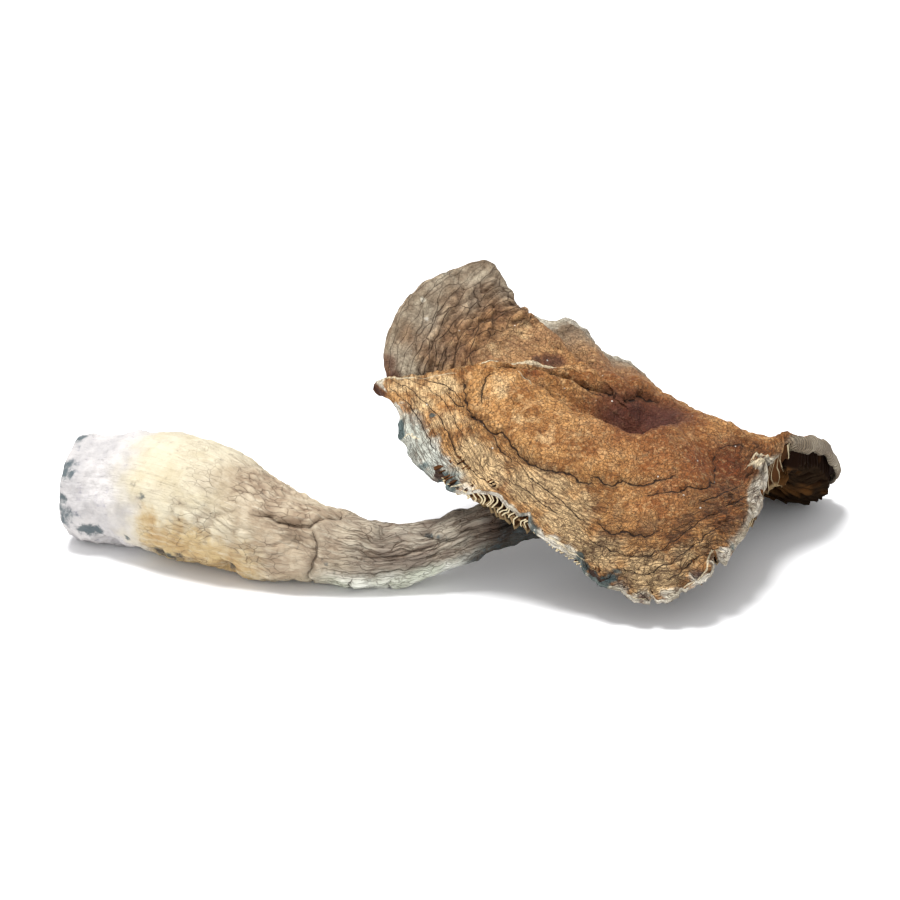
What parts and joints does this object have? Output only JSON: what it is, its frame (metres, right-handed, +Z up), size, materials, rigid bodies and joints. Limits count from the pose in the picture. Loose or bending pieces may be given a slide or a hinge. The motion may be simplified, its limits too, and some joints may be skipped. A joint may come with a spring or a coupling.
{
  "type": "dried magic mushroom",
  "caption": "Dried gilled mushroom lying on its side: folded leathery cap with an upturned flap and rolled edge, gill plates below, bent stem with a thick base.",
  "frame": {"origin": "middle of the underside of the box around the whole mushroom, on the surface it lies on", "axes": "+X from the cut base of the stem towards the cap, +Z up as it lies, -Y the side the low front tip of the cap faces"},
  "size_m": [0.0756, 0.0376, 0.0251],
  "materials": {
    "cap_skin": "dull, dry, wrinkled",
    "gill_flesh": "dull, dry",
    "stem_flesh": "dull, dry, fibrous"
  },
  "bodies": {
    "root": {"cap": "cap_skin", "gills": "gill_flesh", "stem": "stem_flesh"}
  },
  "joints": []
}
